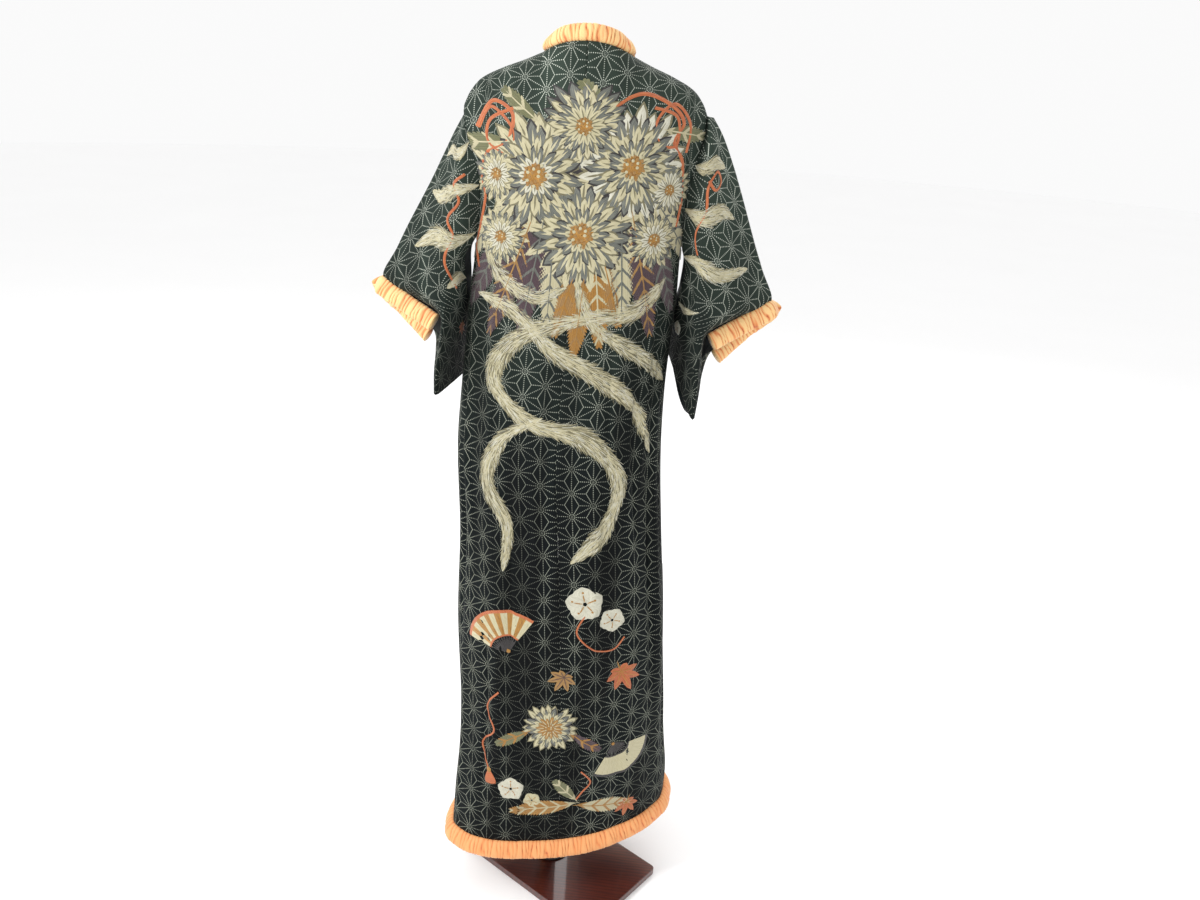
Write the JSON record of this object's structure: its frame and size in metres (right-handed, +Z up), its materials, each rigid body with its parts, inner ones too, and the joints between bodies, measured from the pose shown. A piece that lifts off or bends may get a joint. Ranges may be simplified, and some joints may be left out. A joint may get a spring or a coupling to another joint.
{
  "type": "kimono on a dress form stand",
  "caption": "Floor-length kimono of dark patterned cloth with gathered orange trims, hanging open on a limbless dress form with a pole and a board base.",
  "frame": {"origin": "centre of the base board's underside, on the floor", "axes": "+Z up, +Y the way the wearer faces, +X to the wearer's right"},
  "size_m": [0.677, 0.4, 1.5917],
  "materials": {
    "patterned_cloth": "soft silk twill, dark grey-green with a pale stitched hemp leaf pattern",
    "gathered_trim": "gathered crepe, pale orange",
    "embroidery": "satin-stitched silk and couched gold thread",
    "form_cover": "smooth stretched jersey",
    "dark_metal": "satin black paint",
    "polished_wood": "glossy red-brown varnish"
  },
  "bodies": {
    "root": {"body_right": "patterned_cloth", "body_left": "patterned_cloth", "overlap_right": "patterned_cloth", "overlap_left": "patterned_cloth", "sleeve_right": "patterned_cloth", "sleeve_left": "patterned_cloth", "neck_trim": "gathered_trim", "front_trim_right": "gathered_trim", "front_trim_left": "gathered_trim", "hem_trim": "gathered_trim", "cuff_trim_right": "gathered_trim", "cuff_trim_left": "gathered_trim", "dress_form": "form_cover", "pole": "dark_metal", "pole_flange": "dark_metal", "base_board": "polished_wood"}
  },
  "joints": []
}
